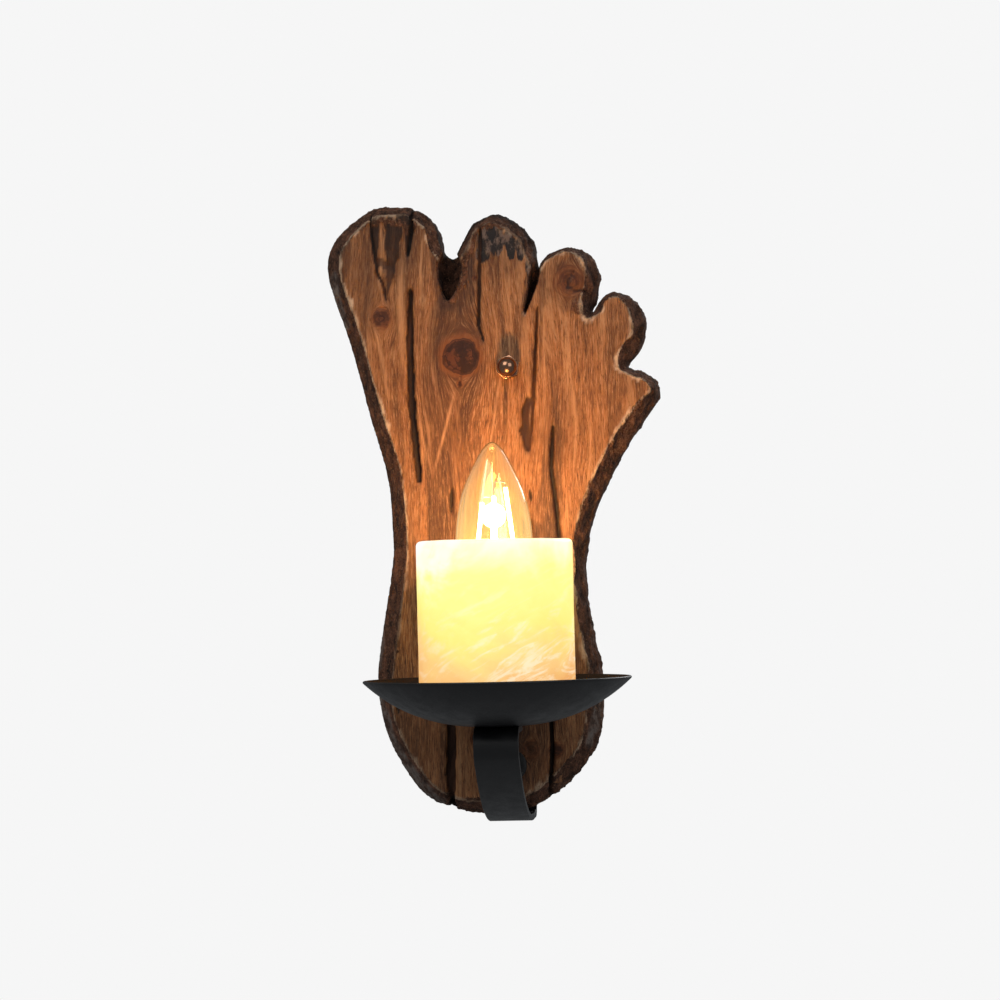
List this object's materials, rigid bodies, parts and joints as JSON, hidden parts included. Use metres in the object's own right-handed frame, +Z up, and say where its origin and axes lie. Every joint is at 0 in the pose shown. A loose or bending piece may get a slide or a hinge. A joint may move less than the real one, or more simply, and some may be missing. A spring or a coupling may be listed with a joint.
{
  "type": "electric candle wall lamp",
  "caption": "Wall lamp: a translucent candle cup and clear candle bulb on an iron saucer and curved arm, in front of a thick wooden board cut as a bare foot.",
  "frame": {"origin": "middle of the wall bracket, on the wall plane", "axes": "+Y into the wall, +Z up towards the toes, +X to the right as seen from the room"},
  "size_m": [0.1563, 0.158, 0.2921],
  "materials": {
    "pine": "brushed and stained pine, hewn dark bevel",
    "zinc_steel": "zinc plated",
    "black_nickel": "polished bronze-black nickel plate",
    "black_iron": "satin black powder coat",
    "tinned_brass": "tinned",
    "cream_resin": "satin translucent cast cup, lit from within",
    "white_ceramic": "white glazed porcelain",
    "nickel_shell": "nickel-plated rolled thread",
    "contact_bronze": "phosphor bronze spring",
    "terminal_brass": "turned brass",
    "clear_glass": "clear",
    "stem_glass": "clear stem glass",
    "glowing_rod": "yellow silicone over a lit filament",
    "nickel_wire": "bright nickel wire",
    "black_glass": "black vitrite",
    "solder": "solder",
    "brown_pvc": "brown PVC",
    "blue_pvc": "blue PVC",
    "green_yellow_pvc": "green and yellow PVC",
    "black_rubber": "moulded rubber",
    "white_nylon": "moulded nylon"
  },
  "bodies": {
    "root": {"foot_board": "pine", "wall_bracket": "zinc_steel", "mounting_studs": "zinc_steel", "stud_locknuts": "zinc_steel", "dome_nuts": "black_nickel", "arm": "black_iron", "arm_screws": "zinc_steel", "saucer": "black_iron", "threaded_nipple": "zinc_steel", "earth_tag": "tinned_brass", "toothed_washer": "zinc_steel", "nipple_locknut": "zinc_steel", "seat_spacer": "zinc_steel", "candle_cup": "cream_resin", "cup_washer": "zinc_steel", "holder_base": "zinc_steel", "holder_body": "white_ceramic", "holder_shell": "nickel_shell", "holder_contact": "contact_bronze", "holder_terminals": "terminal_brass", "holder_screws": "zinc_steel", "live_lead": "brown_pvc", "neutral_lead": "blue_pvc", "earth_lead": "green_yellow_pvc", "lead_grommet": "black_rubber", "terminal_block": "white_nylon", "terminal_clamps": "terminal_brass", "terminal_screws": "zinc_steel", "block_screw": "zinc_steel"},
    "bulb_stem": {"bulb_stem": "stem_glass"},
    "bulb": {"bulb_glass": "clear_glass", "led_filaments": "glowing_rod", "filament_wires": "nickel_wire", "bulb_cap": "nickel_shell", "cap_insulator": "black_glass", "cap_contact": "solder"}
  },
  "joints": [
    {"name": "bulb_lift", "type": "slide", "parent": "root", "child": "bulb_stem", "axis": [0, 0, 1], "range_m": [0, 0.0129]},
    {"name": "bulb_turn", "type": "hinge", "parent": "bulb_stem", "child": "bulb", "pos_m": [-0.003, -0.098, -0.06], "axis": [0, 0, 1], "range_deg": [0, 1620]}
  ],
  "couplings": [
    {"joint": "bulb_lift", "follows": "bulb_turn", "m_per_rad": 0.00044913}
  ]
}
